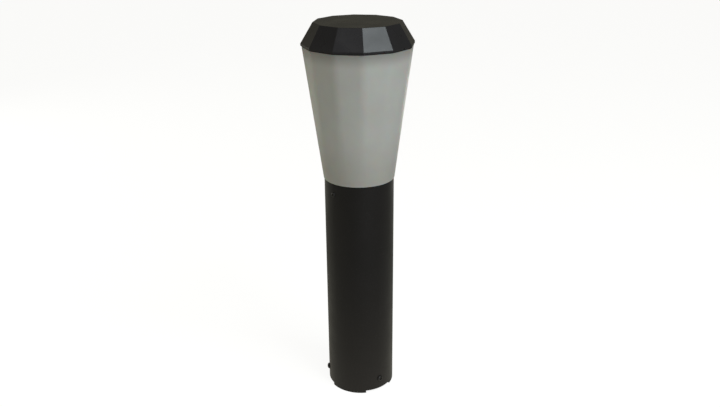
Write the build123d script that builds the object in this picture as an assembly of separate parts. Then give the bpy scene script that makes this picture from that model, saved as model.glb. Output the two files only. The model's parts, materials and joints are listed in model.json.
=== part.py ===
from build123d import *
import math
import os

# Bollard light, 600 mm class. A round steel post stands on a cast base flange. A twelve-sided opal
# diffuser flares upwards from the post and is closed by a faceted cap. The diffuser, cap and reflector
# lift off as one head once two screws near the top of the post are backed out, which gives access to an
# E27 lamp. Terminals hang on a tray inside the post.
#
# Millimetres. The origin is the centre of the footprint on the ground, +Z is up. A heading is an angle
# in degrees from -Y towards +X.

os.makedirs("parts", exist_ok=True)

# ---- driving dimensions -------------------------------------------------------------------------
SIDES = 12                  # facets of the diffuser's top and of the cap
STEP = 360 / SIDES          # heading from one facet to the next; facets face -Y, +X, +Y and -X

POST_R = 54.0               # post tube, outside radius
POST_WALL = 3.0
PLATE = 4.0                 # base plate under the tube's lower rim
POST_TOP = 365.0
POST_IR = POST_R - POST_WALL

BASE_SCREWS = (45, 165, 285)        # headings of the screws that hold the post to its base
BASE_SCREW_Z = PLATE + 18
HEAD_SCREWS = {"a": 322, "b": 142}  # headings of the screws that hold the head, opposite each other
HEAD_SCREW_Z = POST_TOP - 17

GASKET = 1.2
DIFFUSER_Z0 = POST_TOP + GASKET
DIFFUSER_Z1 = 568.0
DIFFUSER_R0 = 55.0          # round lower end
DIFFUSER_APOTHEM = 80.3     # twelve-sided upper end, centre to flat
DIFFUSER_CORNER = 26.0
DIFFUSER_WALL = 3.0
NECK_R = 44.0
NECK_WALL = 3.0
NECK_LENGTH = 28.0

CAP_Z0 = DIFFUSER_Z1 + GASKET
CAP_Z1 = 602.5
CAP_LIP = 3.0               # upright band under the slanted facets
CAP_R0 = 84.0               # centre to corner at the rim
CAP_R1 = 65.3               # centre to corner at the flat top
CAP_WALL = 3.0
CAP_RIM = 6.0               # width of the rim that sits on the gasket
CAP_EDGE = 0.8              # rounding of every facet's edge

LAMP_PITCH = 3.629          # E27 thread, seven turns to the inch

CLEAR = 0.4                 # clearance between parts that nest
CUT = 1.0                   # how far a cutting solid runs past the faces it opens

M3_R, M3_HOLE_R, M3_TAP_R = 1.5, 1.7, 1.55      # screw, clearance hole and threaded hole
M4_R, M4_HOLE_R, M4_TAP_R = 2.0, 2.3, 2.05
M5_R, M5_HOLE_R, M5_TAP_R = 2.5, 2.8, 2.55
M4_PAN = (3.9, 2.6)             # pan head: radius, height
M3_PAN = (2.8, 2.0)
M5_DOME = (4.9, 3.5, 1.75)      # button head: radius, height, radius of the socket's corners
M4_DOME = (3.7, 2.1, 1.45)

# ---- helpers ------------------------------------------------------------------------------------
UP = (Align.CENTER, Align.CENTER, Align.MIN)


def disc(radius, z0, z1, x=0.0, y=0.0):
    """Upright solid cylinder from z0 to z1."""
    return Pos(x, y, z0) * Cylinder(radius, z1 - z0, align=UP)


def ring(outer, inner, z0, z1):
    """Upright round ring from z0 to z1."""
    return disc(outer, z0, z1) - disc(inner, z0 - 1, z1 + 1)


def block(x0, x1, y0, y1, z0, z1):
    """Box between two corners."""
    centre = Pos((x0 + x1) / 2, (y0 + y1) / 2, (z0 + z1) / 2)
    return centre * Box(x1 - x0, y1 - y0, z1 - z0)


def at(heading, radius):
    """The x and y of a point at a heading and a distance from the axis."""
    a = math.radians(heading)
    return radius * math.sin(a), -radius * math.cos(a)


def outward(heading, radius, z):
    """Plane whose local +Z points away from the axis at a heading."""
    x, y = at(heading, radius)
    nx, ny = at(heading, 1)
    return Plane(origin=(x, y, z), x_dir=(-ny, nx, 0), z_dir=(nx, ny, 0))


def forward(x, y, z):
    """Plane whose local +Z points to -Y."""
    return Plane(origin=(x, y, z), x_dir=(1, 0, 0), z_dir=(0, -1, 0))


def peg(plane, radius, length):
    """Solid cylinder that stands on a plane."""
    return plane * Cylinder(radius, length, align=UP)


def write(name, shape):
    """One STEP file per node."""
    export_step(shape, f"parts/{name}.step")


def polygon_prism(corner_radius, z0, z1):
    """Upright twelve-sided prism with facets facing the axes."""
    return Pos(0, 0, z0) * extrude(polygon_face(corner_radius), z1 - z0)


def polygon_face(corner_radius):
    """Regular polygon with a facet facing -Y."""
    return Rot(0, 0, STEP / 2) * RegularPolygon(corner_radius, SIDES)


def polygon_taper(radius0, radius1, z0, z1):
    """Solid that tapers straight from one polygon to a smaller one."""
    return loft([Pos(0, 0, z0) * polygon_face(radius0), Pos(0, 0, z1) * polygon_face(radius1)], ruled=True)


def half_flat(apothem, corner):
    """Half the length of a facet between its rounded corners."""
    return (apothem - corner) * math.tan(math.radians(STEP / 2))


def rounded_outline(apothem, corner, z):
    """Face of the twelve-sided outline with rounded corners, as alternate lines and arcs."""
    half = half_flat(apothem, corner)
    corner_centre = (apothem - corner) / math.cos(math.radians(STEP / 2))
    end = Vector(-half, -apothem).rotate(Axis.Z, STEP)
    side = Line((-half, -apothem), (half, -apothem))
    bend = ThreePointArc((half, -apothem), at(STEP / 2, corner_centre + corner), end)
    edges = [Rot(0, 0, STEP * i) * edge for i in range(SIDES) for edge in (side, bend)]
    return Pos(0, 0, z) * make_face(edges)


def divided_circle(radius, apothem, corner, z):
    """Circle cut into arcs at the headings where that outline's lines and arcs meet."""
    half = math.degrees(math.atan2(half_flat(apothem, corner), apothem))
    facing_side = ThreePointArc(at(-half, radius), at(0, radius), at(half, radius))
    facing_bend = ThreePointArc(at(half, radius), at(STEP / 2, radius), at(STEP - half, radius))
    edges = [Rot(0, 0, STEP * i) * edge for i in range(SIDES) for edge in (facing_side, facing_bend)]
    return Pos(0, 0, z) * make_face(edges)


def flare(radius0, apothem, corner, z0, z1):
    """Solid that is round at z0 and twelve-sided with rounded corners at z1."""
    return loft(
        [divided_circle(radius0, apothem, corner, z0), rounded_outline(apothem, corner, z1)],
        ruled=True,
    )


def pan_screw(shank_r, length, head_r, head_h):
    """Pan-head screw along local Z: its head stands on z = 0 and its shank goes down. Cross recess."""
    head = Cylinder(head_r, head_h, align=UP)
    head = fillet(head.edges().group_by(Axis.Z)[-1], head_h * 0.45)
    recess = head_r * 0.62
    slot = head_r * 0.2
    cross = Box(2 * recess, slot, head_h) + Box(slot, 2 * recess, head_h)
    head -= Pos(0, 0, head_h) * cross
    return head + Pos(0, 0, -length) * Cylinder(shank_r, length + 0.01, align=UP)


def dome_screw(shank_r, length, head_r, head_h, socket_r):
    """Button-head screw along local Z, with a hexagon socket. It stands on z = 0 like the pan head."""
    edge = 0.12 * head_h
    crown = ThreePointArc((head_r, edge), (0.62 * head_r, 0.8 * head_h), (0, head_h))
    outline = Polyline((0, head_h), (0, 0), (head_r, 0), (head_r, edge))
    head = revolve(Plane.XZ * make_face([crown, outline]), Axis.Z)
    head -= Pos(0, 0, 0.4 * head_h) * extrude(RegularPolygon(socket_r, 6), head_h)
    return head + Pos(0, 0, -length) * Cylinder(shank_r, length + 0.01, align=UP)


def joined(*shapes):
    """Separate solids of one node."""
    return Compound(children=list(shapes))


# ---- base flange --------------------------------------------------------------------------------
RIM_R = POST_IR - CLEAR         # upright rim inside the tube
RIM_WALL = 4.0
RIM_TOP = 32.0
HUB_R = 24.0
CABLE_R = 20.0                  # cable entry, for a conduit from the ground
HUB_TOP = 12.0
NOTCH = 53                      # heading span of each drain notch, under a base screw
NOTCH_R = 47.0
ANCHOR_PCD = 70.0
ANCHOR_R = 4.5
BOSS_W = 14.0
BOSS_IN = 38.0                  # a boss runs from here out to the rim
RIB_T = 3.0                     # ribs from the hub to the bosses


def base_flange():
    """Cast plate with a hub, a rim inside the tube, and notches that drain the post."""
    body = disc(POST_R, 0, PLATE) + ring(RIM_R, RIM_R - RIM_WALL, PLATE - 1, RIM_TOP)
    body += disc(HUB_R, 0, HUB_TOP)
    for heading in BASE_SCREWS:
        boss = block(-BOSS_W / 2, BOSS_W / 2, -RIM_R + RIM_WALL / 2, -BOSS_IN, PLATE - 1, RIM_TOP)
        rib = block(-RIB_T / 2, RIB_T / 2, -BOSS_IN - 1, -HUB_R + 1, PLATE - 1, HUB_TOP)
        body += Rot(0, 0, heading) * (boss + rib)
    reach = 2 * POST_R
    for heading in BASE_SCREWS:
        wedge = Polyline((0, 0), at(heading - NOTCH / 2, reach), at(heading + NOTCH / 2, reach), close=True)
        notch = Pos(0, 0, -CUT) * extrude(make_face(wedge), PLATE + CUT)
        body -= notch - disc(NOTCH_R, -2 * CUT, PLATE + CUT)
        body -= peg(outward(heading, BOSS_IN - CUT, BASE_SCREW_Z), M5_TAP_R, POST_R - BOSS_IN)
        body -= disc(ANCHOR_R, -CUT, PLATE + CUT, *at(heading + 60, ANCHOR_PCD / 2))
    return body - disc(CABLE_R, -CUT, HUB_TOP + CUT)


# ---- post ---------------------------------------------------------------------------------------
POST_CHAMFER = 0.4              # outer edge of the tube's mouth
BASE_SCREW_LENGTH = 14.0
TIP_GAP = 0.1                   # between a head screw's tip and the neck


def post_tube():
    """Tube with holes for the screws at its foot and at its mouth."""
    body = ring(POST_R, POST_IR, PLATE, POST_TOP)
    for heading in BASE_SCREWS:
        body -= peg(outward(heading, POST_IR - CUT, BASE_SCREW_Z), M5_HOLE_R, POST_WALL + 2 * CUT)
    for heading in HEAD_SCREWS.values():
        body -= peg(outward(heading, POST_IR - CUT, HEAD_SCREW_Z), M4_HOLE_R, POST_WALL + 2 * CUT)
    rims = body.edges().filter_by(GeomType.CIRCLE).group_by(Axis.Z)[-1]
    return chamfer(rims.sort_by(SortBy.RADIUS)[-1], POST_CHAMFER)


def base_screws():
    """Button-head screws through the tube into the base's bosses."""
    screw = dome_screw(M5_R, BASE_SCREW_LENGTH, *M5_DOME)
    return joined(*(outward(h, POST_R, BASE_SCREW_Z) * screw for h in BASE_SCREWS))


def head_screw(heading):
    """Its tip presses on the diffuser's neck."""
    screw = dome_screw(M4_R, POST_R - NECK_R - TIP_GAP, *M4_DOME)
    return outward(heading, POST_R, HEAD_SCREW_Z) * screw


# ---- lamp carrier, in the mouth of the post -----------------------------------------------------
CARRIER_Z0 = 327.0
CARRIER_FLOOR = 4.0
CARRIER_TOP = CARRIER_Z0 + CARRIER_FLOOR
CARRIER_IR = NECK_R + 0.6
GROMMET_X = -33.0
GROMMET_R = 7.0
GROMMET_NECK_R = 5.8            # where it passes through the carrier's floor
GROMMET_BORE_R = 4.3
GROMMET_LIP = 1.5
WEEP_HOLES = (60, 120, 240, 300)        # headings of the drain holes in the floor
WEEP_PCR = 36.0
WEEP_R = 3.5
HOLDER_SCREW_Y = 24.5
TRAY_SCREW_X = 16.0
TRAY_Y = 10.0               # front face of the tray
TRAY_T = 1.5
TRAY_FOOT = 16.0
EARTH_X, EARTH_Y = 26.0, -24.0
EARTH_LEAD_Z = CARRIER_Z0 - 3.0


def lamp_carrier():
    """Cast cup. Its wall takes the head screws, and its floor the lampholder, tray and earth screws."""
    body = disc(RIM_R, CARRIER_Z0, POST_TOP) - disc(CARRIER_IR, CARRIER_TOP, POST_TOP + CUT)
    for heading in HEAD_SCREWS.values():
        body -= peg(outward(heading, NECK_R - CUT, HEAD_SCREW_Z), M4_TAP_R, POST_R - NECK_R)
    tapped = [(0, -HOLDER_SCREW_Y), (0, HOLDER_SCREW_Y), (EARTH_X, EARTH_Y)]
    tapped += [(x, TRAY_Y + TRAY_FOOT / 2) for x in (-TRAY_SCREW_X, TRAY_SCREW_X)]
    holes = [(M4_TAP_R, x, y) for x, y in tapped]
    holes += [(WEEP_R, *at(heading, WEEP_PCR)) for heading in WEEP_HOLES]
    holes += [(GROMMET_NECK_R, GROMMET_X, 0)]
    for radius, x, y in holes:
        body -= disc(radius, CARRIER_Z0 - CUT, CARRIER_TOP + CUT, x, y)
    return body


def lead_grommet():
    """Rubber ring that snaps into the carrier's floor and guards the leads."""
    body = disc(GROMMET_R, CARRIER_Z0 - GROMMET_LIP, CARRIER_TOP + GROMMET_LIP)
    body -= ring(GROMMET_R + CUT, GROMMET_NECK_R, CARRIER_Z0, CARRIER_TOP)
    body -= disc(GROMMET_BORE_R, CARRIER_Z0 - GROMMET_LIP - CUT, CARRIER_TOP + GROMMET_LIP + CUT)
    return Pos(GROMMET_X, 0, 0) * body


# ---- lampholder ---------------------------------------------------------------------------------
HOLDER_R = 20.0             # lower part
HOLDER_TOP_R = 18.0         # upper part
HOLDER_STEP = CARRIER_TOP + 24
HOLDER_H = 35.5
FOOT_W, FOOT_L, FOOT_H = 22.0, 59.0, 6.0        # ears that take its screws
SHELL_R = 13.7              # holder's screw shell, inside radius
SHELL_T = 0.8
SHELL_Z0 = CARRIER_TOP + 12
SHELL_RIM = 3.0             # width of its turned-out rim
HOLDER_FLOOR = SHELL_Z0 - 4.0
TONGUE_W, TONGUE_T = 6.0, 0.8
TONGUE_X = 2.0              # where the tongue folds back over its foot
HOLDER_TOP = CARRIER_TOP + HOLDER_H
CONTACT_Z = SHELL_Z0        # where the lamp's centre contact rests
LEAD_R = 1.4
LEAD_HOLE_R = 1.7
ENTRY_Z = CARRIER_TOP + 6.5     # height at which the leads enter the lampholder
LEAD_Y = 2.1                    # the live and neutral leads run this far either side of y = 0


def lampholder_body():
    """Moulded housing with two ears, open at the top for the lamp."""
    body = disc(HOLDER_TOP_R, CARRIER_TOP, HOLDER_TOP) + disc(HOLDER_R, CARRIER_TOP, HOLDER_STEP)
    body += block(-FOOT_W / 2, FOOT_W / 2, -FOOT_L / 2, FOOT_L / 2, CARRIER_TOP, CARRIER_TOP + FOOT_H)
    body -= disc(SHELL_R + SHELL_T + 0.1, HOLDER_FLOOR, HOLDER_TOP + CUT)
    for y in (-HOLDER_SCREW_Y, HOLDER_SCREW_Y):
        body -= disc(M4_HOLE_R, CARRIER_TOP - CUT, CARRIER_TOP + FOOT_H + CUT, 0, y)
    for y in (-LEAD_Y, LEAD_Y):
        entry = Plane(origin=(-HOLDER_R - CUT, y, ENTRY_Z), z_dir=(1, 0, 0))
        body -= peg(entry, LEAD_HOLE_R, 14)
    return body


def lampholder_shell():
    """Brass sleeve with a turned-out rim. The lamp's thread runs inside it."""
    body = ring(SHELL_R + SHELL_T, SHELL_R, SHELL_Z0 - 2, HOLDER_TOP)
    return body + ring(SHELL_R + SHELL_RIM, SHELL_R, HOLDER_TOP, HOLDER_TOP + SHELL_T)


def lampholder_contact():
    """Sprung tongue under the lamp's centre contact, riveted to the floor of the holder."""
    half = TONGUE_W / 2
    top = CONTACT_Z - 0.1
    foot = block(-10, TONGUE_X, -half, half, HOLDER_FLOOR, HOLDER_FLOOR + TONGUE_T)
    riser = block(TONGUE_X - TONGUE_T, TONGUE_X, -half, half, HOLDER_FLOOR, top)
    tongue = block(-6, TONGUE_X, -half, half, top - TONGUE_T, top)
    return foot + riser + tongue


def lampholder_screws():
    """Two screws through the lampholder's ears into the carrier."""
    screw = pan_screw(M4_R, 9, *M4_PAN)
    z = CARRIER_TOP + FOOT_H
    return joined(*(Pos(0, y, z) * screw for y in (-HOLDER_SCREW_Y, HOLDER_SCREW_Y)))


# ---- lamp, E27 ----------------------------------------------------------------------------------
LAMP_THREAD_R = 13.1
LAMP_CORE_R = 12.2
LAMP_SHELL_Z0 = CONTACT_Z + 4.5
LAMP_SHELL_Z1 = LAMP_SHELL_Z0 + 20
LAMP_BALL_R = 30.0
LAMP_BALL_Z = CONTACT_Z + 79
LAMP_NECK_Z = LAMP_BALL_Z - 16
LAMP_WALL = 1.2
LAMP_WAIST_R = 18.5         # housing, 22 mm above the screw cap
LAMP_WAIST_Z = LAMP_SHELL_Z1 + 22
PIP_H = 1.2                 # solder pip under the lamp
RIDGE = 0.9                 # half the height of a thread ridge
RIDGES = 5
LED_BOARD_R, LED_BOARD_T = 21.0, 1.6


def lamp_contact():
    """Solder pip. It is the lamp's lowest point and stands on the holder's tongue."""
    return Pos(0, 0, CONTACT_Z) * Cone(2.6, 4.2, PIP_H, align=UP)


def lamp_insulator():
    """Black glass cone between the pip and the screw cap."""
    bottom = CONTACT_Z + PIP_H
    return Pos(0, 0, bottom) * Cone(5.0, 11.0, LAMP_SHELL_Z0 - bottom, align=UP)


def lamp_shell():
    """Brass screw cap with rolled ridges at the thread's pitch."""
    body = disc(LAMP_CORE_R, LAMP_SHELL_Z0, LAMP_SHELL_Z1)
    for i in range(RIDGES):
        z = LAMP_SHELL_Z0 + 1.4 + i * LAMP_PITCH
        body += Pos(0, 0, z) * Cone(LAMP_CORE_R, LAMP_THREAD_R, RIDGE, align=UP)
        body += Pos(0, 0, z + RIDGE) * Cone(LAMP_THREAD_R, LAMP_CORE_R, RIDGE, align=UP)
    return body - disc(LAMP_CORE_R - 0.6, LAMP_SHELL_Z0 + 1, LAMP_SHELL_Z1 + CUT)


def lamp_neck_radius():
    """Radius of the ball where the housing meets it."""
    return math.sqrt(LAMP_BALL_R**2 - (LAMP_BALL_Z - LAMP_NECK_Z) ** 2)


def lamp_housing():
    """Plastic-clad heat sink between the screw cap and the ball."""
    bottom = (LAMP_CORE_R + 1, LAMP_SHELL_Z1)
    top = (lamp_neck_radius() + 0.4, LAMP_NECK_Z)
    flank = Spline(bottom, (LAMP_WAIST_R, LAMP_WAIST_Z), top)
    outline = Polyline(top, (0, LAMP_NECK_Z), (0, LAMP_SHELL_Z1), bottom)
    body = revolve(Plane.XZ * make_face([flank, outline]), Axis.Z)
    return body - disc(9, LAMP_SHELL_Z1 - CUT, LAMP_NECK_Z - 4)


def lamp_led_board():
    """Disc with the light source, under the ball."""
    return disc(LED_BOARD_R, LAMP_NECK_Z, LAMP_NECK_Z + LED_BOARD_T)


def lamp_ball():
    """Opal dome, open underneath."""
    ball = Pos(0, 0, LAMP_BALL_Z) * (Sphere(LAMP_BALL_R) - Sphere(LAMP_BALL_R - LAMP_WALL))
    return ball & disc(LAMP_BALL_R + 1, LAMP_NECK_Z, LAMP_BALL_Z + LAMP_BALL_R + 1)


# ---- gear tray, terminals and leads, under the carrier ------------------------------------------
TRAY_W = 46.0
TRAY_Z0 = 226.0
TRAY_BACK = TRAY_Y + TRAY_T
TB_X = 17.0                 # half width of the terminal block
TB_Z0, TB_Z1 = 266.0, 284.0
TB_D = 15.0
POLE = 10.5                 # spacing of the poles
CLAMP_Z = 238.0
CABLE_OD = 9.0
SADDLE_D = CABLE_OD + 3     # depth of the cable clamp
TRAY_SLOTS = (302, 312)     # heights of the cable-tie slots
TERMINAL_IN = 4.5           # a terminal's screws stand this far inside its ends
SINK = 4.0                  # depth of the counterbores in the terminal block
SINK_R = 2.0


def gear_tray():
    """Folded steel strip that hangs from the carrier."""
    body = block(-TRAY_W / 2, TRAY_W / 2, TRAY_Y, TRAY_BACK, TRAY_Z0, CARRIER_Z0)
    body += block(-TRAY_W / 2, TRAY_W / 2, TRAY_Y, TRAY_Y + TRAY_FOOT, CARRIER_Z0 - TRAY_T, CARRIER_Z0)
    for x in (-TRAY_SCREW_X, TRAY_SCREW_X):
        body -= disc(M4_HOLE_R, CARRIER_Z0 - TRAY_T - CUT, CARRIER_Z0 + CUT, x, TRAY_Y + TRAY_FOOT / 2)
    for x, z in TRAY_M3:
        body -= peg(forward(x, TRAY_BACK + CUT, z), M3_TAP_R, TRAY_T + 2 * CUT)
    for z in TRAY_SLOTS:
        body -= forward(0, TRAY_BACK + CUT, z) * extrude(SlotOverall(24, 5), TRAY_T + 2 * CUT)
    return body


TB_SCREW_X = POLE / 2
TB_MID = (TB_Z0 + TB_Z1) / 2
CLAMP_SCREW_X = 9.5
TRAY_M3 = [(x, TB_MID) for x in (-TB_SCREW_X, TB_SCREW_X)]      # threaded holes in the tray
TRAY_M3 += [(x, CLAMP_Z) for x in (-CLAMP_SCREW_X, CLAMP_SCREW_X)]


def tray_screws():
    """Two screws up through the tray's foot into the carrier."""
    screw = Rot(180, 0, 0) * pan_screw(M4_R, 6, *M4_PAN)
    z = CARRIER_Z0 - TRAY_T
    return joined(*(Pos(x, TRAY_Y + TRAY_FOOT / 2, z) * screw for x in (-TRAY_SCREW_X, TRAY_SCREW_X)))


POLES = (-POLE, 0.0, POLE)
TERMINALS = [(x, z) for x in POLES for z in (TB_Z0 + TERMINAL_IN, TB_Z1 - TERMINAL_IN)]
CLAMP_R = 2.9               # brass clamp in each pole, outside radius
CLAMP_BORE_R = 1.8
CLAMP_Y = TRAY_Y - TB_D / 2
GRUB_LENGTH = 4.5


def terminal_block():
    """Three-pole moulded block."""
    body = block(-TB_X, TB_X, TRAY_Y - TB_D, TRAY_Y, TB_Z0, TB_Z1)
    body = fillet(body.edges().filter_by(Axis.Z), 1.2)
    for x in POLES:
        body -= disc(CLAMP_R + 0.05, TB_Z0 - CUT, TB_Z1 + CUT, x, CLAMP_Y)
    for x, z in TERMINALS:
        body -= peg(forward(x, CLAMP_Y, z), 2.2, TB_D)
    for x in (-TB_SCREW_X, TB_SCREW_X):
        body -= peg(forward(x, TRAY_Y + CUT, TB_MID), M3_HOLE_R, TB_D + 2 * CUT)
        body -= peg(forward(x, TRAY_Y - TB_D + SINK, TB_MID), SINK_R, SINK + CUT)
    return body


def terminal_clamps():
    """Brass tubes that take a wire at each end."""
    tubes = {x: Pos(x, CLAMP_Y, 0) * ring(CLAMP_R, CLAMP_BORE_R, TB_Z0 + 1, TB_Z1 - 1) for x in POLES}
    for x, z in TERMINALS:
        tubes[x] -= peg(forward(x, CLAMP_Y, z), M3_TAP_R, CLAMP_R + CUT)
    return joined(*tubes.values())


def terminal_screws():
    """Slotted grub screws that press on the wires."""
    screw = Cylinder(M3_R, GRUB_LENGTH, align=UP) - Pos(0, 0, GRUB_LENGTH) * Box(4, 0.6, 1.4)
    return joined(*(forward(x, CLAMP_Y - LEAD_R - 0.1, z) * screw for x, z in TERMINALS))


def terminal_block_screws():
    """Two M3 screws down the middle of the block into the tray."""
    head_h = 2.0
    length = TB_D - SINK + TRAY_T
    screw = Cylinder(SINK_R - 0.1, head_h, align=UP) - Pos(0, 0, head_h) * Box(5, 0.7, 1.4)
    screw += Pos(0, 0, -length) * Cylinder(M3_R, length, align=UP)
    return joined(*(forward(x, TRAY_Y - TB_D + SINK, TB_MID) * screw for x in (-TB_SCREW_X, TB_SCREW_X)))


def cable_clamp():
    """Moulded saddle that grips the supply cable against the tray."""
    body = block(-13.5, 13.5, TRAY_Y - SADDLE_D, TRAY_Y, CLAMP_Z - 5, CLAMP_Z + 5)
    body = fillet(body.edges().filter_by(Axis.Z).group_by(Axis.Y)[0], 3)
    cable_r = CABLE_OD / 2
    cable_y = TRAY_Y - cable_r
    body -= disc(cable_r, CLAMP_Z - 6, CLAMP_Z + 6, 0, cable_y)
    body -= block(-cable_r, cable_r, cable_y, TRAY_Y + CUT, CLAMP_Z - 6, CLAMP_Z + 6)
    for x in (-CLAMP_SCREW_X, CLAMP_SCREW_X):
        body -= peg(forward(x, TRAY_Y + CUT, CLAMP_Z), M3_HOLE_R, SADDLE_D + 2 * CUT)
    return body


def cable_clamp_screws():
    """Two long screws through the saddle into the tray."""
    screw = pan_screw(M3_R, SADDLE_D + TRAY_T + 2, *M3_PAN)
    return joined(*(forward(x, TRAY_Y - SADDLE_D, CLAMP_Z) * screw for x in (-CLAMP_SCREW_X, CLAMP_SCREW_X)))


TAG_T = 1.0
TAG_R = 4.6
TAG_W = 3.2
BARREL_Y = EARTH_Y + 8          # the crimped sleeve starts here
BARREL_R = 2.1
BARREL_LENGTH = 7.0


def earth_screw():
    """Earth point on the underside of the carrier, with its ring tag."""
    screw = Rot(180, 0, 0) * pan_screw(M4_R, 6, *M4_PAN)
    return Pos(EARTH_X, EARTH_Y, CARRIER_Z0 - TAG_T) * screw


def earth_tag():
    """Ring tag with a crimped sleeve for the earth lead."""
    low = CARRIER_Z0 - TAG_T
    tag = disc(TAG_R, low, CARRIER_Z0, EARTH_X, EARTH_Y)
    tag += block(EARTH_X - TAG_W / 2, EARTH_X + TAG_W / 2, EARTH_Y, EARTH_Y + 12, low, CARRIER_Z0)
    tag -= disc(M4_HOLE_R, low - CUT, CARRIER_Z0 + CUT, EARTH_X, EARTH_Y)
    barrel = Plane(origin=(EARTH_X, BARREL_Y, EARTH_LEAD_Z), z_dir=(0, 1, 0))
    return tag + (peg(barrel, BARREL_R, BARREL_LENGTH) - peg(barrel, LEAD_R + 0.1, BARREL_LENGTH))


def lead(points):
    """Insulated wire: straight runs joined by tangent arcs, each as large as its runs allow."""
    corners = [Vector(*p) for p in points]
    runs = [(b - a).length for a, b in zip(corners, corners[1:])]
    radii = []
    for i in range(1, len(corners) - 1):
        turn = (corners[i] - corners[i - 1]).get_angle(corners[i + 1] - corners[i])
        radii.append(0.45 * min(runs[i - 1], runs[i]) / math.tan(math.radians(turn / 2)))
    path = FilletPolyline(*points, radius=radii)
    print("lead radii", [round(r, 1) for r in radii], "length", round(path.length, 1))
    start = Plane(origin=path @ 0, z_dir=path % 0)
    body = sweep(start * Circle(LEAD_R), path)
    print("volume over section times length", round(body.volume / (math.pi * LEAD_R**2 * path.length), 4))
    return body


LEAD_START_Z = TB_Z1 - 6        # inside the clamp, beside its screw


def lampholder_lead(pole_x, y):
    """From a terminal up through the grommet and into the side of the lampholder."""
    return lead([
        (pole_x, CLAMP_Y, LEAD_START_Z),
        (pole_x, CLAMP_Y, TB_Z1 + 12),
        (GROMMET_X, y, TB_Z1 + 28),
        (GROMMET_X, y, ENTRY_Z),
        (-HOLDER_R + 9, y, ENTRY_Z),
    ])


def lead_live():
    """First terminal to the lampholder."""
    return lampholder_lead(POLES[0], -LEAD_Y)


def lead_neutral():
    """Second terminal to the lampholder."""
    return lampholder_lead(POLES[1], LEAD_Y)


def lead_earth():
    """From the third terminal to the tag on the carrier's underside."""
    return lead([
        (POLES[2], CLAMP_Y, LEAD_START_Z),
        (POLES[2], CLAMP_Y, TB_Z1 + 10),
        (EARTH_X, TRAY_Y - 4, EARTH_LEAD_Z),
        (EARTH_X, EARTH_Y + 10, EARTH_LEAD_Z),
    ])


# ---- head: gasket, diffuser, cap, reflector -----------------------------------------------------
CAP_SCREWS = 6
CAP_SCREW_R = 68.0
FLANGE_R = 62.0             # opening in the diffuser's top flange
REFLECTOR_R = 73.0
REFLECTOR_T = 1.5
FLANGE_Z = DIFFUSER_Z1 - DIFFUSER_WALL
CONE_H = 16.0               # the reflector's cone: height, and radii at its tip and at the disc
CONE_R0, CONE_R1 = 3.0, 40.0
CAP_BOSS_R = 4.5
GASKET_SETBACK = 1.6
CAP_SCREW_DEPTH = 13.0      # threaded holes in the bosses
TO_CORNER = 1 / math.cos(math.radians(STEP / 2))        # from a polygon's apothem to its corner radius


def cap_screw_points():
    """Where the screws stand, under every other corner of the cap."""
    return [at(STEP / 2 + 360 / CAP_SCREWS * i, CAP_SCREW_R) for i in range(CAP_SCREWS)]


def post_gasket():
    """Flat ring between the post's rim and the diffuser's shoulder."""
    return ring(POST_R - 0.6, CARRIER_IR, POST_TOP, DIFFUSER_Z0)


def diffuser():
    """Opal shell: round neck and shoulder, flared wall, inward flange at the top."""
    rise = DIFFUSER_WALL / (DIFFUSER_Z1 - DIFFUSER_Z0)
    spread = DIFFUSER_APOTHEM - DIFFUSER_R0
    body = flare(DIFFUSER_R0, DIFFUSER_APOTHEM, DIFFUSER_CORNER, DIFFUSER_Z0, DIFFUSER_Z1)
    body -= flare(
        DIFFUSER_R0 - DIFFUSER_WALL + rise * spread,
        DIFFUSER_APOTHEM - DIFFUSER_WALL - rise * spread,
        DIFFUSER_CORNER - DIFFUSER_WALL,
        DIFFUSER_Z0 + DIFFUSER_WALL,
        FLANGE_Z,
    )
    body += disc(NECK_R, DIFFUSER_Z0 - NECK_LENGTH, DIFFUSER_Z0 + 1)
    body -= disc(NECK_R - NECK_WALL, DIFFUSER_Z0 - NECK_LENGTH - CUT, DIFFUSER_Z0 + DIFFUSER_WALL + CUT)
    body -= disc(FLANGE_R, FLANGE_Z - CUT, DIFFUSER_Z1 + CUT)
    for x, y in cap_screw_points():
        body -= disc(M4_HOLE_R, FLANGE_Z - CUT, DIFFUSER_Z1 + CUT, x, y)
    return body


def cap_gasket():
    """Twelve-sided ring, set back from the diffuser's edge."""
    outline = polygon_prism((DIFFUSER_APOTHEM - GASKET_SETBACK) * TO_CORNER, DIFFUSER_Z1, CAP_Z0)
    return outline - polygon_prism(CAP_R0 - CAP_RIM * TO_CORNER, DIFFUSER_Z1 - CUT, CAP_Z0 + CUT)


def cap():
    """Hollow cap: upright lip, slanted facets, flat top and six screw bosses inside."""
    lip_top = CAP_Z0 + CAP_LIP
    outer = polygon_prism(CAP_R0, CAP_Z0, lip_top) + polygon_taper(CAP_R0, CAP_R1, lip_top, CAP_Z1)
    outer = fillet(outer.edges().filter_by(lambda e: e.center().Z > CAP_Z0 + 0.1), CAP_EDGE)
    rim_corner = CAP_R0 - CAP_RIM * TO_CORNER
    cavity = polygon_prism(rim_corner, CAP_Z0 - CUT, lip_top + 2)
    cavity += polygon_taper(rim_corner, CAP_R1 - 4.5, lip_top + 2, CAP_Z1 - CAP_WALL)
    body = outer - cavity
    for x, y in cap_screw_points():
        body += disc(CAP_BOSS_R, CAP_Z0, CAP_Z1 - 12, x, y) & outer
        body -= disc(M4_TAP_R, CAP_Z0 - CUT, CAP_Z0 + CAP_SCREW_DEPTH, x, y)
    return body


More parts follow.
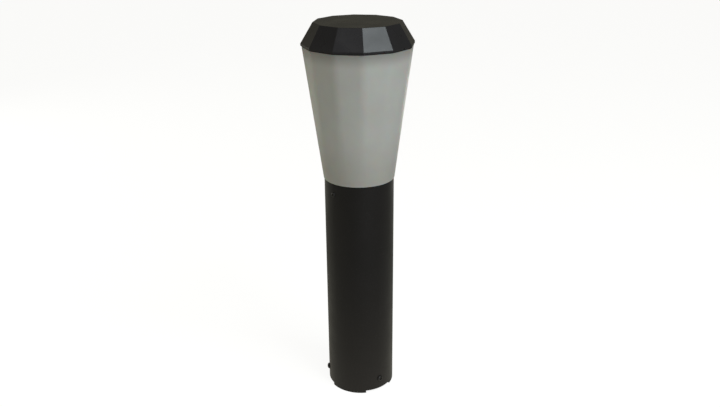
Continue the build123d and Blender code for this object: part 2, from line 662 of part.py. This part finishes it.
def reflector():
    """White disc under the flange, with a shallow cone that throws light outwards."""
    bottom = FLANGE_Z - REFLECTOR_T
    body = disc(REFLECTOR_R, bottom, FLANGE_Z)
    body += Pos(0, 0, bottom - CONE_H) * Cone(CONE_R0, CONE_R1, CONE_H + 0.01, align=UP)
    body -= Pos(0, 0, FLANGE_Z - CONE_H) * Cone(CONE_R0 - 1, CONE_R1 - 2.5, CONE_H + 0.01, align=UP)
    for x, y in cap_screw_points():
        body -= disc(M4_HOLE_R, bottom - CUT, FLANGE_Z + CUT, x, y)
    return body


def reflector_screws():
    """Screws that go up through the reflector and the diffuser's flange into the cap."""
    screw = Rot(180, 0, 0) * pan_screw(M4_R, 16, *M4_PAN)
    z = FLANGE_Z - REFLECTOR_T
    return joined(*(Pos(x, y, z) * screw for x, y in cap_screw_points()))


# ---- every node ---------------------------------------------------------------------------------
NODES = {
    "base_flange": base_flange,
    "post_tube": post_tube,
    "base_screws": base_screws,
    "lamp_carrier": lamp_carrier,
    "lead_grommet": lead_grommet,
    "lampholder_body": lampholder_body,
    "lampholder_shell": lampholder_shell,
    "lampholder_contact": lampholder_contact,
    "lampholder_screws": lampholder_screws,
    "lamp_contact": lamp_contact,
    "lamp_insulator": lamp_insulator,
    "lamp_shell": lamp_shell,
    "lamp_housing": lamp_housing,
    "lamp_led_board": lamp_led_board,
    "lamp_ball": lamp_ball,
    "gear_tray": gear_tray,
    "tray_screws": tray_screws,
    "terminal_block": terminal_block,
    "terminal_clamps": terminal_clamps,
    "terminal_screws": terminal_screws,
    "terminal_block_screws": terminal_block_screws,
    "cable_clamp": cable_clamp,
    "cable_clamp_screws": cable_clamp_screws,
    "earth_screw": earth_screw,
    "earth_tag": earth_tag,
    "lead_live": lead_live,
    "lead_neutral": lead_neutral,
    "lead_earth": lead_earth,
    "post_gasket": post_gasket,
    "diffuser": diffuser,
    "cap_gasket": cap_gasket,
    "cap": cap,
    "reflector": reflector,
    "reflector_screws": reflector_screws,
}

for name, make in NODES.items():
    write(name, make())
for label, heading in HEAD_SCREWS.items():
    write(f"head_screw_{label}", head_screw(heading))
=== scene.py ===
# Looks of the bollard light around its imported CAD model. Metres, +Z up. A heading is an angle in degrees
# from -Y towards +X, as in the CAD.

import json
import math

import bpy
from mathutils import Matrix, Vector


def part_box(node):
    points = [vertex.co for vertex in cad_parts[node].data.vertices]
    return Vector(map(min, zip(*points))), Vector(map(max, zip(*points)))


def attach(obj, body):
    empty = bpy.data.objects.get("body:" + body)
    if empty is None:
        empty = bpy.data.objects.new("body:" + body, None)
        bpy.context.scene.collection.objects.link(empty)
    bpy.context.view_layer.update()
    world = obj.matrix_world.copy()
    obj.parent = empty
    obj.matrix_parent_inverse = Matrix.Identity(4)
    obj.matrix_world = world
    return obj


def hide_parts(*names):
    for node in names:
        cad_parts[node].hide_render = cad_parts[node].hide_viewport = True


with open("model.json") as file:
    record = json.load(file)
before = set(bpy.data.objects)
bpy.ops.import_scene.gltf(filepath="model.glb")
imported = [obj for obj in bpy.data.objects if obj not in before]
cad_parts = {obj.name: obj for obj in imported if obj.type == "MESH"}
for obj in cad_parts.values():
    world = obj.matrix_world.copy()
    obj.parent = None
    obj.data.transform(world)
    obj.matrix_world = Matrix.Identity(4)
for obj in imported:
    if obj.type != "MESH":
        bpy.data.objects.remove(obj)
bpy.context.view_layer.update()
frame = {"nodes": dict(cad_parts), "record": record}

MM = 0.001

# ---- camera -------------------------------------------------------------------------------------
CAMERA_HEADING = 9.69
CAMERA_DISTANCE = 1.130         # from the post's axis, level
CAMERA_HEIGHT = 0.773
CAMERA_PITCH = 21.9             # down
CAMERA_YAW = -0.045             # aim off the axis, to the right
CAMERA_ROLL = -0.52
CAMERA_LENS = 38.58             # mm
SENSOR = 36.0                   # mm, wide

# ---- light --------------------------------------------------------------------------------------
AIM_Z = 0.45                    # height the lights point at
LIGHTS = {
    # high on the right, where one facet of the cap mirrors it
    "window": dict(heading=59.5, elevation=47, distance=2.2, width=1.15, height=0.84, radiance=4.6,
                   color=(0.89, 0.975, 1.0)),
    # low and soft, on the right half of the diffuser and the post
    "front": dict(heading=33, elevation=10, distance=2.6, width=1.8, height=1.0, radiance=1.56,
                  color=(0.94, 0.945, 1.0)),
    # faint, mirrored by the facet of the cap left of the bright one
    "ceiling": dict(heading=-15, elevation=50, distance=2.4, width=0.7, height=0.6, radiance=0.5,
                    color=(0.98, 0.98, 1.0)),
    # warm, on the left edge
    "left": dict(heading=-108, elevation=4, distance=2.4, width=0.8, height=0.8, radiance=3.0,
                 color=(1.0, 0.98, 0.90)),
}
WORLD_SEEN = (1.0, 1.0, 1.0)
WORLD_LIGHT = (0.122, 0.116, 0.088)

# ---- floor --------------------------------------------------------------------------------------
FLOOR_SIZE = 14.0
FLOOR_COLOR = (0.40, 0.40, 0.385)
FLOOR_ROUGHNESS = 0.8
FLOOR_MOTTLE = 0.5                      # size of the uneven patches
FLOOR_GLOW = (0.082, 0.079, 0.060)      # light from the floor on the object
FLOOR_PAINTED_LIGHT_POOLS = (                         # painted pools of light in the floor's glow, which light the object: heading, distance, radius, glow
    (0, 0, 0.70, (0.34, 0.325, 0.275)),
    (-48, 0.75, 0.70, (0.19, 0.18, 0.145)),
    (-134, 1.5, 1.05, (0.54, 0.53, 0.45)),
    (172, 1.8, 1.5, (1.5, 1.5, 1.4)),
    (-104, 0.36, 0.30, (0.28, 0.27, 0.22)),
    (110, 0.38, 0.30, (0.18, 0.175, 0.15)),
)
FLOOR_SEEN = (0.90, 0.90, 0.90)         # glow for the camera alone, which keeps the floor pale

# ---- colours shared by a material's layers ------------------------------------------------------
BLACK = (0.0090, 0.0076, 0.0092)
CAP_BLACK = (0.0260, 0.0252, 0.0305)
DUST = (0.10, 0.098, 0.09)
SOIL = (0.085, 0.07, 0.055)             # splashed on the foot of the post
SOIL_TOP = 0.24                         # height where the soil fades out
# painted shade on the opal wall, under the cap and just above the post
OPAL_PAINTED_CAP_SHADE = (0.20, 0.20, 0.185)
OPAL_PAINTED_POST_SHADE = (0.46, 0.455, 0.41)
OPAL_CAP_SHADE_FADE = 22 * MM                 # how far below the cap its painted shade reaches
OPAL_POST_SHADE_FADE = 90 * MM                # how far above the post its painted shade reaches
RUBBER = (0.02, 0.02, 0.021)
TALC = (0.12, 0.12, 0.115)

# ---- pieces that replace CAD nodes --------------------------------------------------------------
AROUND = 48                     # points in every ring of a turned piece
SHARP = 32                      # degrees between faces that makes an edge look sharp

BASE_SCREWS = (45, 165, 285)    # headings
HEAD_SCREWS = {"head_screw_a": 322, "head_screw_b": 142}

# Button-head screws: radius of the shank, pitch, length, radius and height of the head, and radius of
# the socket's corners.
M5_BUTTON = dict(shank=2.5 * MM, pitch=0.8 * MM, length=14 * MM, head=4.9 * MM, rise=3.5 * MM,
                 socket=1.75 * MM)
M4_BUTTON = dict(shank=2.0 * MM, pitch=0.7 * MM, length=9.9 * MM, head=3.7 * MM, rise=2.1 * MM,
                 socket=1.45 * MM)

# Screw cap of the lamp: radii, then heights from its lower end and from its upper end.
LAMP_END_R = 10.4 * MM
LAMP_EDGE_R = 11.6 * MM
LAMP_CORE_R = 12.2 * MM
LAMP_CREST_R = 13.1 * MM
LAMP_COLLAR_R = 12.8 * MM
LAMP_PITCH = 3.629 * MM         # E27, seven turns to the inch
LAMP_BEVEL = 0.35 * MM
LAMP_THREAD_START = 1.0 * MM
LAMP_THREAD_END = 2.2 * MM
LAMP_NECK = 1.8 * MM
LAMP_COLLAR = 1.2 * MM


def at(heading, radius, z):
    """Point at a heading, a distance from the axis and a height."""
    a = math.radians(heading)
    return Vector((radius * math.sin(a), -radius * math.cos(a), z))


# ---- node helpers -------------------------------------------------------------------------------
def new_material(name):
    """Material with a Principled shader, and its node tree."""
    mat = bpy.data.materials.new(name)
    mat.use_nodes = True
    return mat, mat.node_tree


def shader(tree):
    return tree.nodes["Principled BSDF"]


def feed(tree, socket, value):
    """Gives an input a link from another socket, a colour or a plain value."""
    if isinstance(value, bpy.types.NodeSocket):
        tree.links.new(value, socket)
    elif socket.type == "RGBA":
        socket.default_value = (*value, 1.0)
    else:
        socket.default_value = value


def feed_named(tree, node, inputs):
    """Feeds inputs by name. An underscore stands for a space."""
    for key, value in inputs.items():
        feed(tree, node.inputs[key.replace("_", " ")], value)


def add(tree, kind, **inputs):
    """New node with some of its inputs fed by name."""
    node = tree.nodes.new(kind)
    feed_named(tree, node, inputs)
    return node


def object_coords(tree):
    """Coordinates in metres that move with the object."""
    return tree.nodes.new("ShaderNodeTexCoord").outputs["Object"]


def place(tree, scale=(1, 1, 1)):
    """Those coordinates, stretched by scale."""
    return add(tree, "ShaderNodeMapping", Vector=object_coords(tree), Scale=scale).outputs["Vector"]


def noise(tree, size, detail=3.0, stretch=(1, 1, 1)):
    """Noise whose features are about size metres across."""
    node = add(tree, "ShaderNodeTexNoise", Vector=place(tree, stretch), Scale=1 / size, Detail=detail)
    return node.outputs["Fac"]


def spread(tree, value, low, high, source_low=0.3, source_high=0.7):
    """Maps a value from its usual range onto low to high."""
    node = add(tree, "ShaderNodeMapRange", Value=value, From_Min=source_low, From_Max=source_high,
               To_Min=low, To_Max=high)
    return node.outputs["Result"]


def mix(tree, factor, a, b):
    """Colour that goes from a to b as factor goes from 0 to 1."""
    node = tree.nodes.new("ShaderNodeMix")
    node.data_type = "RGBA"
    feed_named(tree, node, {"Factor": factor, "A": a, "B": b})
    return node.outputs["Result"]


def bump(tree, height, depth, normal=None):
    """Bump of a real depth in metres, on top of another bump."""
    node = add(tree, "ShaderNodeBump", Height=height, Distance=depth, Strength=1.0)
    if normal:
        tree.links.new(normal, node.inputs["Normal"])
    return node.outputs["Normal"]


def shaded(color, factor):
    return tuple(min(1.0, c * factor) for c in color)


def height_above(tree, low, high):
    """0 below low, 1 above high, smooth between, by height in the frame."""
    z = add(tree, "ShaderNodeSeparateXYZ", Vector=place(tree)).outputs["Z"]
    node = add(tree, "ShaderNodeMapRange", Value=z, From_Min=low, From_Max=high)
    node.interpolation_type = "SMOOTHSTEP"
    return node.outputs["Result"]


def finish_material(tree, color, roughness, normal=None, metallic=0.0, **constants):
    """Feeds the shader. Colour and roughness may be links; constants go on the shader's own sockets."""
    bsdf = shader(tree)
    feed(tree, bsdf.inputs["Base Color"], color)
    feed(tree, bsdf.inputs["Roughness"], roughness)
    feed(tree, bsdf.inputs["Metallic"], metallic)
    if normal:
        tree.links.new(normal, bsdf.inputs["Normal"])
    feed_named(tree, bsdf, constants)


# ---- materials ----------------------------------------------------------------------------------
def powder_coat(name, color, roughness, peel=0.9 * MM, depth=0.012 * MM):
    """Satin coat with orange peel, faint mottling, specks of dust and a little soil near the ground."""
    mat, tree = new_material(name)
    mottled = mix(tree, spread(tree, noise(tree, 60 * MM), 0, 1), shaded(color, 0.85), shaded(color, 1.2))
    specks = spread(tree, noise(tree, 1.6 * MM, detail=5), 0, 0.35, 0.62, 0.80)
    dusty = mix(tree, specks, mottled, DUST)
    splashed = spread(tree, height_above(tree, 0.0, SOIL_TOP), 0.13, 0.0, 0, 1)
    final = mix(tree, splashed, dusty, SOIL)
    rough = spread(tree, noise(tree, 22 * MM), roughness - 0.04, roughness + 0.05)
    coarse = bump(tree, noise(tree, 7 * MM, detail=1), depth * 1.5)
    finish_material(tree, final, rough, bump(tree, noise(tree, peel, detail=2), depth, coarse))
    return mat


def opal(name, color):
    """Opal polycarbonate: milky, with painted shade under the cap and above the post, where they stop
    light entering the wall.
    """
    mat, tree = new_material(name)
    cloudy = mix(tree, spread(tree, noise(tree, 45 * MM), 0, 1), shaded(color, 0.97), shaded(color, 1.03))
    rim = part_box("diffuser")[1].z
    # painted shade under the cap, fading out downwards
    cap_shade_mask = spread(tree, height_above(tree, rim - OPAL_CAP_SHADE_FADE, rim + 1 * MM), 0.0, 0.50, 0, 1)
    cap_shaded = mix(tree, cap_shade_mask, cloudy, OPAL_PAINTED_CAP_SHADE)
    post_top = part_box("post_tube")[1].z
    # painted shade just above the post, fading out upwards
    post_shade_mask = spread(tree, height_above(tree, post_top, post_top + OPAL_POST_SHADE_FADE), 0.35, 0.0, 0, 1)
    final = mix(tree, post_shade_mask, cap_shaded, OPAL_PAINTED_POST_SHADE)
    flow = noise(tree, 9 * MM, detail=2, stretch=(1, 1, 0.06))
    normal = bump(tree, flow, 0.02 * MM, bump(tree, noise(tree, 1.1 * MM), 0.003 * MM))
    rough = spread(tree, noise(tree, 30 * MM), 0.30, 0.38)
    finish_material(tree, final, rough, normal, IOR=1.58, Subsurface_Weight=0.35, Subsurface_Scale=0.006)
    return mat


def moulded(name, color, roughness=0.42, grain=0.6 * MM, depth=0.008 * MM):
    """Moulded plastic with a fine grain and slight flow marks."""
    mat, tree = new_material(name)
    flow = spread(tree, noise(tree, 14 * MM, stretch=(1, 1, 0.3)), 0, 1)
    tone = mix(tree, flow, shaded(color, 0.93), shaded(color, 1.05))
    rough = spread(tree, noise(tree, 6 * MM), roughness - 0.05, roughness + 0.06)
    finish_material(tree, tone, rough, bump(tree, noise(tree, grain, detail=2), depth))
    return mat


def worked_metal(name, color, roughness, stretch=(1, 1, 14), line=0.35 * MM, depth=0.006 * MM):
    """Bare metal with fine tool lines, a little tarnish and uneven gloss."""
    mat, tree = new_material(name)
    tarnish = spread(tree, noise(tree, 5 * MM, detail=5), 0, 1, 0.35, 0.75)
    tone = mix(tree, tarnish, color, shaded(color, 0.72))
    rough = spread(tree, noise(tree, 3 * MM, detail=4), roughness - 0.07, roughness + 0.09)
    lines = noise(tree, line, detail=2, stretch=stretch)
    finish_material(tree, tone, rough, bump(tree, lines, depth), metallic=1.0)
    return mat


def cast_metal(name, color):
    """Die-cast aluminium: pitted skin with cloudy oxide."""
    mat, tree = new_material(name)
    oxide = spread(tree, noise(tree, 9 * MM, detail=6), 0, 1, 0.35, 0.7)
    tone = mix(tree, oxide, color, shaded(color, 0.68))
    pits = add(tree, "ShaderNodeTexVoronoi", Vector=place(tree), Scale=1 / (1.3 * MM)).outputs["Distance"]
    normal = bump(tree, pits, 0.02 * MM, bump(tree, noise(tree, 0.5 * MM), 0.02 * MM))
    rough = spread(tree, noise(tree, 4 * MM), 0.42, 0.58)
    finish_material(tree, tone, rough, normal, metallic=0.9)
    return mat


def rubber(name):
    """Black rubber with a matt skin and talc in its pores."""
    mat, tree = new_material(name)
    powdered = spread(tree, noise(tree, 0.8 * MM, detail=5), 0, 0.3, 0.55, 0.8)
    tone = mix(tree, powdered, RUBBER, TALC)
    normal = bump(tree, noise(tree, 0.35 * MM), 0.01 * MM)
    finish_material(tree, tone, spread(tree, noise(tree, 3 * MM), 0.68, 0.85), normal)
    return mat


def striped_wire(name, base, stripe):
    """Insulation with a second colour in bands that climb round the wire."""
    mat, tree = new_material(name)
    waves = add(tree, "ShaderNodeTexWave", Vector=place(tree, (1.0, 1.0, 0.35)), Scale=1 / (14 * MM),
                Distortion=0.4)
    bands = spread(tree, waves.outputs["Fac"], 0, 1, 0.60, 0.66)
    rough = spread(tree, noise(tree, 2 * MM), 0.40, 0.52)
    normal = bump(tree, noise(tree, 0.5 * MM), 0.004 * MM)
    finish_material(tree, mix(tree, bands, base, stripe), rough, normal)
    return mat


def frosted(name, color):
    """Frosted lamp dome."""
    mat, tree = new_material(name)
    tone = mix(tree, spread(tree, noise(tree, 20 * MM), 0, 1), shaded(color, 0.97), color)
    normal = bump(tree, noise(tree, 0.4 * MM), 0.003 * MM)
    rough = spread(tree, noise(tree, 12 * MM), 0.42, 0.50)
    finish_material(tree, tone, rough, normal, Subsurface_Weight=0.3, Subsurface_Scale=0.004)
    return mat


MATERIALS = {
    "black_paint": powder_coat("black_paint", BLACK, 0.36),
    "black_casting": powder_coat("black_casting", BLACK, 0.46, peel=1.4 * MM, depth=0.02 * MM),
    "black_cap": powder_coat("black_cap", CAP_BLACK, 0.28, peel=1.1 * MM),
    "opal": opal("opal", (0.838, 0.832, 0.818)),
    "black_steel": worked_metal("black_steel", (0.090, 0.088, 0.090), 0.40),
    "cast_aluminium": cast_metal("cast_aluminium", (0.60, 0.61, 0.62)),
    "rubber_seal": rubber("rubber_seal"),
    "holder_plastic": moulded("holder_plastic", (0.80, 0.79, 0.74), 0.30),
    "brass": worked_metal("brass", (0.78, 0.58, 0.27), 0.28),
    "plated_steel": worked_metal("plated_steel", (0.62, 0.62, 0.60), 0.34),
    "lamp_cap_metal": worked_metal("lamp_cap_metal", (0.70, 0.68, 0.64), 0.24),
    "lamp_plastic": moulded("lamp_plastic", (0.84, 0.84, 0.82), 0.35),
    "lamp_opal": frosted("lamp_opal", (0.88, 0.88, 0.85)),
    "insulator_black": moulded("insulator_black", (0.02, 0.02, 0.022), 0.25),
    "board_white": moulded("board_white", (0.82, 0.83, 0.82), 0.45),
    "terminal_plastic": moulded("terminal_plastic", (0.80, 0.80, 0.75), 0.48),
    "clamp_plastic": moulded("clamp_plastic", (0.05, 0.05, 0.055), 0.50),
    "wire_brown": moulded("wire_brown", (0.17, 0.065, 0.03), 0.45),
    "wire_blue": moulded("wire_blue", (0.03, 0.12, 0.42), 0.45),
    "wire_earth": striped_wire("wire_earth", (0.12, 0.40, 0.06), (0.75, 0.62, 0.04)),
    "reflector_white": powder_coat("reflector_white", (0.82, 0.82, 0.79), 0.5),
}


def dress_cad_nodes():
    """Gives every CAD node the material of its slot in the record."""
    for entry in frame["record"]["subparts"]:
        mesh = frame["nodes"][entry["node"]].data
        mesh.materials.clear()
        mesh.materials.append(MATERIALS[entry["material_slot"]])


# ---- turned shapes ------------------------------------------------------------------------------
def ring(radius, z):
    """One ring of points. The radius is a number or a function of the angle."""
    points = []
    for i in range(AROUND):
        a = 2 * math.pi * i / AROUND
        r = radius(a) if callable(radius) else radius
        points.append(Vector((r * math.cos(a), r * math.sin(a), z)))
    return points


def skin(rings):
    """Closed surface through the rings, from the first to the last, with a flat cap on each end."""
    verts = [p for points in rings for p in points]
    faces = []
    for j in range(len(rings) - 1):
        a, b = j * AROUND, (j + 1) * AROUND
        for i in range(AROUND):
            k = (i + 1) % AROUND
            faces.append((a + i, a + k, b + k, b + i))
    last = (len(rings) - 1) * AROUND
    faces.append(tuple(reversed(range(AROUND))))
    faces.append(tuple(range(last, last + AROUND)))
    return verts, faces


def hexagon(radius):
    """Radius of a hexagon by angle, given its corners' radius."""
    half = math.pi / 6              # from a corner to the middle of a side

    def outline(a):
        off = (a + half) % (2 * half) - half
        return radius * math.cos(half) / math.cos(half - abs(off))
    return outline


def between(a, b, share):
    """Outline part of the way from a round one of radius a to the outline b."""
    return lambda angle: a + (b(angle) - a) * share


def threaded(core, crest, pitch, z0, z1, rows=8):
    """Rings of a right-hand thread from z0 up to z1, with rows to a turn, fading out at both ends."""
    count = max(2, round((z1 - z0) / pitch * rows))
    rings = []
    for j in range(count + 1):
        z = z0 + (z1 - z0) * j / count
        fade = min(1.0, (z - z0) / pitch, (z1 - z) / pitch)

        def radius(a, z=z, fade=fade):
            wave = 0.5 + 0.5 * math.cos(2 * math.pi * (z / pitch - a / (2 * math.pi)))
            return core + (crest - core) * wave * fade
        rings.append(ring(radius, z))
    return rings


def socket_screw(shank, pitch, length, head, rise, socket):
    """Button-head screw along +Z with a threaded shank below z = 0 and a hexagon socket on top."""
    tip, core, chamfer = 0.72 * shank, 0.84 * shank, 0.25 * shank
    thread_top, neck = -0.6 * MM, -0.3 * MM
    underside = 0.96 * head
    edge = 0.12                     # height of the head's upright edge, as a share of its rise
    crown = 0.97 * rise             # where the dome is cut off
    mouth = 1.06 * socket           # corners of the socket's rounded mouth
    lip, floor = 0.90 * rise, 0.36 * rise
    drill_r, drill_z = 0.15 * socket, 0.24 * rise
    dome_steps = 9

    rings = [ring(tip, -length), ring(shank - 0.1 * MM, -length + chamfer)]
    rings += threaded(core, shank, pitch, -length + chamfer, thread_top)[1:]
    rings += [ring(core, neck), ring(underside, 0.0), ring(head, edge * rise)]
    for k in range(1, dome_steps + 1):
        share = k / dome_steps
        r = head + (mouth - head) * share
        z = rise * (edge + (1 - edge) * math.sqrt(max(0.0, 1 - (r / head) ** 2)))
        rings.append(ring(between(r, hexagon(mouth), share ** 3), min(z, crown)))
    rings += [ring(hexagon(socket), lip), ring(hexagon(socket), floor), ring(drill_r, drill_z)]
    return skin(rings)


# ---- pieces that replace CAD nodes --------------------------------------------------------------
def outward(heading, radius, z):
    """Matrix that stands a piece's +Z outwards at a heading."""
    turn = at(heading, 1, 0).to_track_quat("Z", "Y").to_matrix().to_4x4()
    return Matrix.Translation(at(heading, radius, z)) @ turn


def stand_in(name, shapes, slot, body, node):
    """Piece made of the shapes, each (points, faces, matrix), shown instead of a CAD node."""
    verts, faces = [], []
    for points, sides, matrix in shapes:
        start = len(verts)
        verts += [matrix @ p for p in points]
        faces += [tuple(start + i for i in side) for side in sides]
    mesh = bpy.data.meshes.new(name)
    mesh.from_pydata(verts, [], faces)
    mesh.shade_smooth()
    mesh.set_sharp_from_angle(angle=math.radians(SHARP))
    mesh.materials.append(MATERIALS[slot])
    piece = bpy.data.objects.new(name, mesh)
    bpy.context.scene.collection.objects.link(piece)
    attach(piece, body)
    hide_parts(node)


def middle(node):
    low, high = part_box(node)
    return (low + high) / 2


def make_screws():
    """Black button-head screws: M5 at the foot of the post, M4 that hold the head."""
    post_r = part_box("post_tube")[1].x
    foot = socket_screw(**M5_BUTTON)
    foot_z = middle("base_screws").z
    places = [(*foot, outward(heading, post_r, foot_z)) for heading in BASE_SCREWS]
    stand_in("foot_screws", places, "black_steel", "post", "base_screws")
    for node, heading in HEAD_SCREWS.items():
        screw = socket_screw(**M4_BUTTON)
        place_at = outward(heading, post_r, middle(node).z)
        stand_in(node + "_socket", [(*screw, place_at)], "black_steel", node, node)


def make_lamp_thread():
    """Rolled screw cap of the lamp: bevelled lower end, rounded E27 thread and a plain collar."""
    bottom, top = (corner.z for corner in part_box("lamp_shell"))
    start, end = bottom + LAMP_THREAD_START, top - LAMP_THREAD_END
    rings = [ring(LAMP_END_R, bottom), ring(LAMP_EDGE_R, bottom + LAMP_BEVEL)]
    rings += threaded(LAMP_CORE_R, LAMP_CREST_R, LAMP_PITCH, start, end, rows=12)
    rings.append(ring(LAMP_CORE_R, top - LAMP_NECK))
    rings += [ring(LAMP_COLLAR_R, top - LAMP_COLLAR), ring(LAMP_COLLAR_R, top)]
    stand_in("lamp_thread", [(*skin(rings), Matrix.Identity(4))], "lamp_cap_metal", "lamp", "lamp_shell")


# ---- stage --------------------------------------------------------------------------------------
def painted_light_pool(tree, heading, distance, radius):
    """Mask of a painted pool of light: 1 at a point of the floor, fading to 0 at a radius round it."""
    centred = add(tree, "ShaderNodeMapping", Vector=object_coords(tree),
                  Location=-at(heading, distance, 0) / radius, Scale=(1 / radius,) * 3)
    gradient = add(tree, "ShaderNodeTexGradient", Vector=centred.outputs["Vector"])
    gradient.gradient_type = "QUADRATIC_SPHERE"
    return gradient.outputs["Fac"]


def make_floor():
    """Plain pale floor, slightly uneven in tone, with painted pools of light in its glow. A glow for the
    camera alone keeps it near white.
    """
    bpy.ops.mesh.primitive_plane_add(size=FLOOR_SIZE)
    floor = bpy.context.object
    floor.name = "floor"
    mat, tree = new_material("floor")
    uneven = spread(tree, noise(tree, FLOOR_MOTTLE), 0, 1)
    finish_material(tree, mix(tree, uneven, shaded(FLOOR_COLOR, 0.98), FLOOR_COLOR), FLOOR_ROUGHNESS)
    glow = FLOOR_GLOW
    # painted pools of light: brighter patches of glow that light the object from the floor
    for heading, distance, radius, color in FLOOR_PAINTED_LIGHT_POOLS:
        glow = mix(tree, painted_light_pool(tree, heading, distance, radius), glow, color)
    seen = tree.nodes.new("ShaderNodeLightPath").outputs["Is Camera Ray"]
    glow = mix(tree, seen, glow, FLOOR_SEEN)
    feed_named(tree, shader(tree), {"Emission Color": glow, "Emission Strength": 1.0})
    floor.data.materials.append(mat)


def make_world():
    """White where the camera sees it, a dim soft surround for everything else."""
    world = bpy.data.worlds.new("studio")
    world.use_nodes = True
    bpy.context.scene.world = world
    tree = world.node_tree
    seen = tree.nodes.new("ShaderNodeLightPath").outputs["Is Camera Ray"]
    feed(tree, tree.nodes["Background"].inputs["Color"], mix(tree, seen, WORLD_LIGHT, WORLD_SEEN))


def area_light(name, heading, elevation, distance, width, height, radiance, color):
    """Rectangular softbox that faces the object. Radiance is its brightness beside a white of 1."""
    data = bpy.data.lights.new(name, "AREA")
    data.shape = "RECTANGLE"
    data.size = width
    data.size_y = height
    data.energy = radiance * math.pi * width * height
    data.color = color
    lamp = bpy.data.objects.new(name, data)
    bpy.context.scene.collection.objects.link(lamp)
    up = math.radians(elevation)
    centre = Vector((0, 0, AIM_Z))
    lamp.location = centre + at(heading, distance * math.cos(up), distance * math.sin(up))
    lamp.rotation_euler = (lamp.location - centre).to_track_quat("Z", "Y").to_euler()


def make_camera():
    """Camera above and in front, turned down to take in the whole light."""
    data = bpy.data.cameras.new("camera")
    data.lens = CAMERA_LENS
    data.sensor_width = SENSOR
    camera = bpy.data.objects.new("camera", data)
    bpy.context.scene.collection.objects.link(camera)
    bpy.context.scene.camera = camera
    turn = Matrix.Rotation(math.radians(CAMERA_HEADING + CAMERA_YAW), 4, "Z")
    tilt = Matrix.Rotation(math.radians(90 - CAMERA_PITCH), 4, "X")
    roll = Matrix.Rotation(math.radians(CAMERA_ROLL), 4, "Z")
    position = Matrix.Translation(at(CAMERA_HEADING, CAMERA_DISTANCE, CAMERA_HEIGHT))
    camera.matrix_world = position @ turn @ tilt @ roll


dress_cad_nodes()
make_screws()
make_lamp_thread()
make_floor()
make_world()
for light_name, facts in LIGHTS.items():
    area_light(light_name, **facts)
make_camera()
bpy.context.scene.view_settings.view_transform = "Standard"
